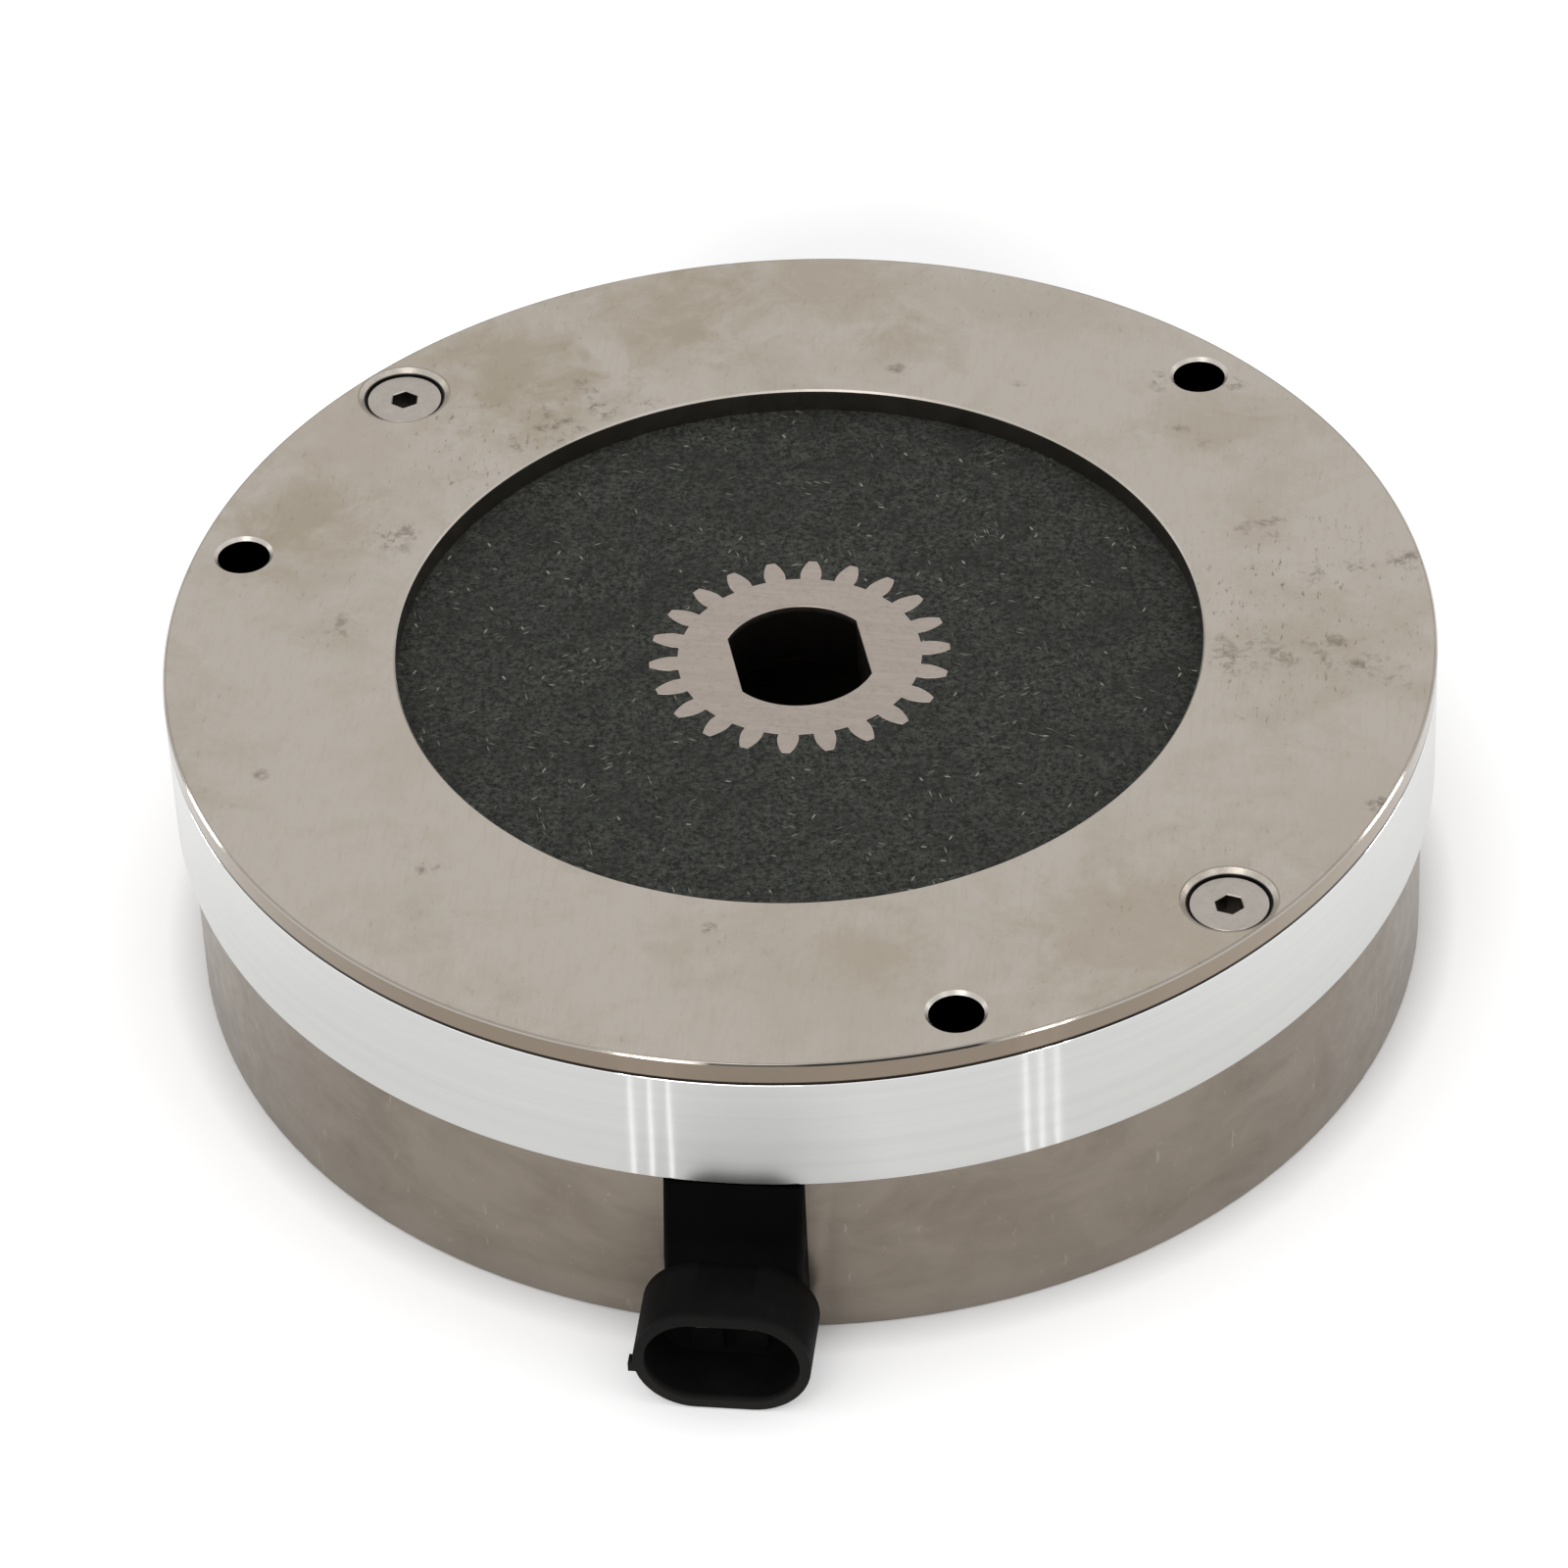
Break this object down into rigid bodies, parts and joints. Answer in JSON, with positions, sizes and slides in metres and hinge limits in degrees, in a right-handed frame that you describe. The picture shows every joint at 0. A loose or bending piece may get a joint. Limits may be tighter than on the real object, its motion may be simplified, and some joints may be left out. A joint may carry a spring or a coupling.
{
  "type": "motor brake",
  "caption": "Round spring-applied motor brake: flange plate with a large bore, spacer ring, coil body, lined rotor with a toothed hub and a low oval connector socket.",
  "frame": {"origin": "on the shaft axis, in the plane of the magnet body's back face", "axes": "+Z along the shaft axis towards the flange plate, -Y towards the connector"},
  "size_m": [0.126, 0.1361, 0.035],
  "materials": {
    "flange_plate": "satin nickel with light stains",
    "spacer_ring": "fine turned",
    "magnet_body": "satin nickel, brownish",
    "armature_plate": "ground",
    "friction_lining": "matte, fibre filled",
    "toothed_hub": "fine machined",
    "copper": "enamelled copper wire",
    "resin": "cast resin",
    "black_moulding": "matte black",
    "screw_steel": "zinc plated",
    "pin_steel": "ground",
    "spring_steel": "drawn wire",
    "terminal_metal": "tinned",
    "wire_cover": "wire insulation"
  },
  "bodies": {
    "stator": {"magnet_body": "magnet_body", "spacer_ring": "spacer_ring", "flange_plate": "flange_plate", "coil_winding": "copper", "coil_potting": "resin", "connector_housing": "black_moulding", "flange_screw_1": "screw_steel", "flange_screw_2": "screw_steel", "guide_pin_1": "pin_steel", "guide_pin_2": "pin_steel", "guide_pin_3": "pin_steel", "brake_spring_1": "spring_steel", "brake_spring_2": "spring_steel", "brake_spring_3": "spring_steel", "brake_spring_4": "spring_steel", "brake_spring_5": "spring_steel", "brake_spring_6": "spring_steel", "terminal_1": "terminal_metal", "terminal_2": "terminal_metal", "lead_wire_1": "wire_cover", "lead_wire_2": "wire_cover"},
    "armature": {"armature_plate": "armature_plate"},
    "rotor": {"friction_lining": "friction_lining", "toothed_hub": "toothed_hub"}
  },
  "joints": [
    {"name": "armature_slide", "type": "slide", "parent": "stator", "child": "armature", "axis": [0, 0, 1], "range_m": [-0.0003, 0], "stiffness_N_per_m": 2000, "springref_m": 0.0035, "deforming": ["brake_spring_1", "brake_spring_2", "brake_spring_3", "brake_spring_4", "brake_spring_5", "brake_spring_6"]},
    {"name": "rotor_spin", "type": "hinge", "parent": "stator", "child": "rotor", "pos_m": [0, 0, 0.02915], "axis": [0, 0, 1], "continuous": true}
  ]
}
